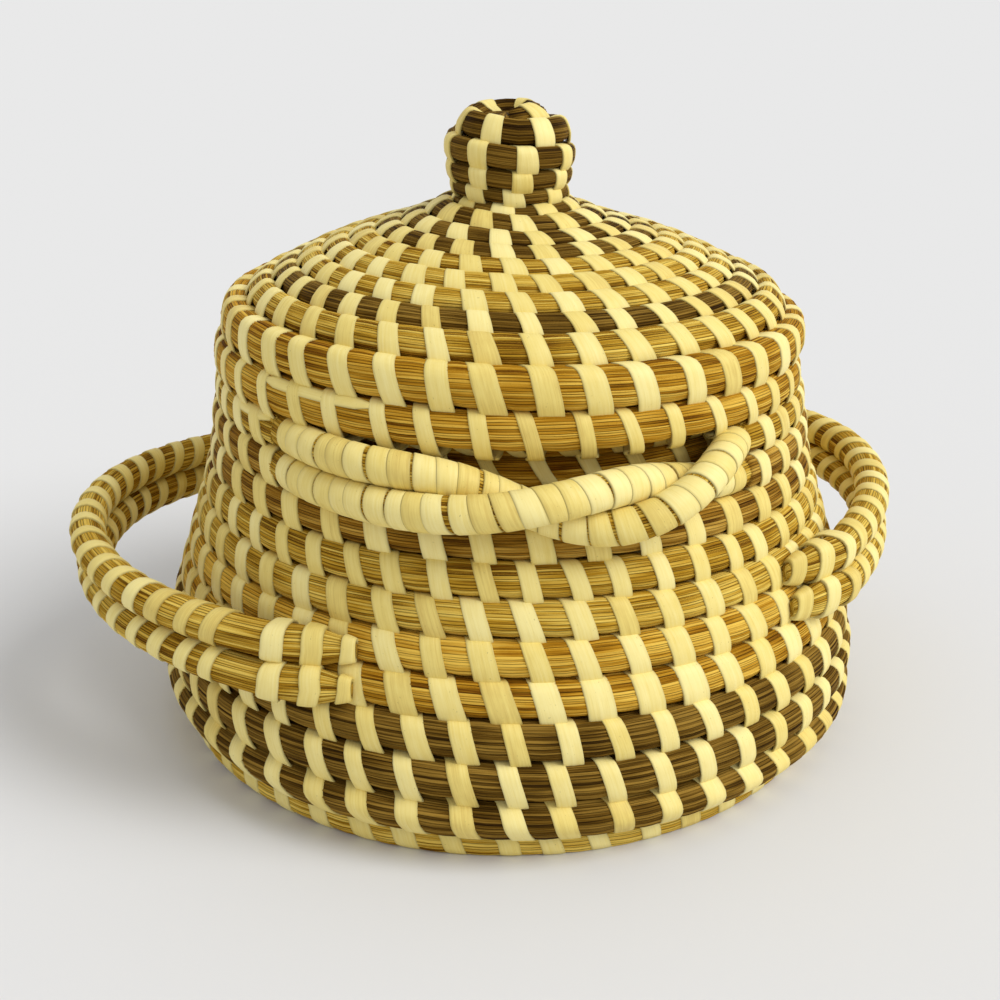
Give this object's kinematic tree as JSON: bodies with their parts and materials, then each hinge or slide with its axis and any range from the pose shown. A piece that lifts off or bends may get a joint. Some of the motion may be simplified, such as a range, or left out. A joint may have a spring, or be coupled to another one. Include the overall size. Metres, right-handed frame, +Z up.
{
  "type": "coiled sweetgrass basket",
  "caption": "Coiled grass storage basket with a lift-off domed lid, a coiled knob, two ear handles and a twisted band of two bundles at the neck.",
  "frame": {"origin": "middle of the flat underside, on the upright axis of the basket", "axes": "+Z up through the lid's knob, -Y towards the pictured front with the twisted band, +X towards the right handle"},
  "size_m": [0.305, 0.2634, 0.2217],
  "materials": {
    "golden_grass": "dry golden grass, matt with a faint sheen along the stems",
    "amber_grass": "dry amber grass, matt with a faint sheen along the stems",
    "russet_grass": "dry reddish brown grass, matt",
    "dark_grass": "dry dark brown grass, matt",
    "palm_strip": "pale cream palm strip with a fine grain along it, satin"
  },
  "bodies": {
    "basket": {"base_start_knot": "golden_grass", "base_coil": "golden_grass", "foot_coil": "golden_grass", "dark_belly_coil": "dark_grass", "handle_band_coil": "amber_grass", "upper_wall_coil": "golden_grass", "neck_coil": "russet_grass", "right_lower_rim_coil": "russet_grass", "front_lower_strand": "palm_strip", "left_lower_rim_coil": "russet_grass", "back_lower_strand": "palm_strip", "right_upper_rim_coil": "golden_grass", "front_upper_strand": "palm_strip", "left_upper_rim_coil": "golden_grass", "back_upper_strand": "palm_strip", "rim_end_coil": "golden_grass", "left_handle_upper_coil": "russet_grass", "left_handle_lower_coil": "russet_grass", "right_handle_upper_coil": "russet_grass", "right_handle_lower_coil": "russet_grass"},
    "lid": {"lid_flange_coil": "amber_grass", "lid_edge_coil": "amber_grass", "outer_crown_coil": "golden_grass", "dark_ring_coil": "dark_grass", "inner_crown_coil": "golden_grass", "dark_collar_coil": "dark_grass", "knob_coil": "dark_grass", "knob_cap_coil": "dark_grass"}
  },
  "joints": [
    {"name": "lid_lift", "type": "slide", "parent": "basket", "child": "lid", "axis": [0, 0, 1], "range_m": [0, 0.08]}
  ]
}
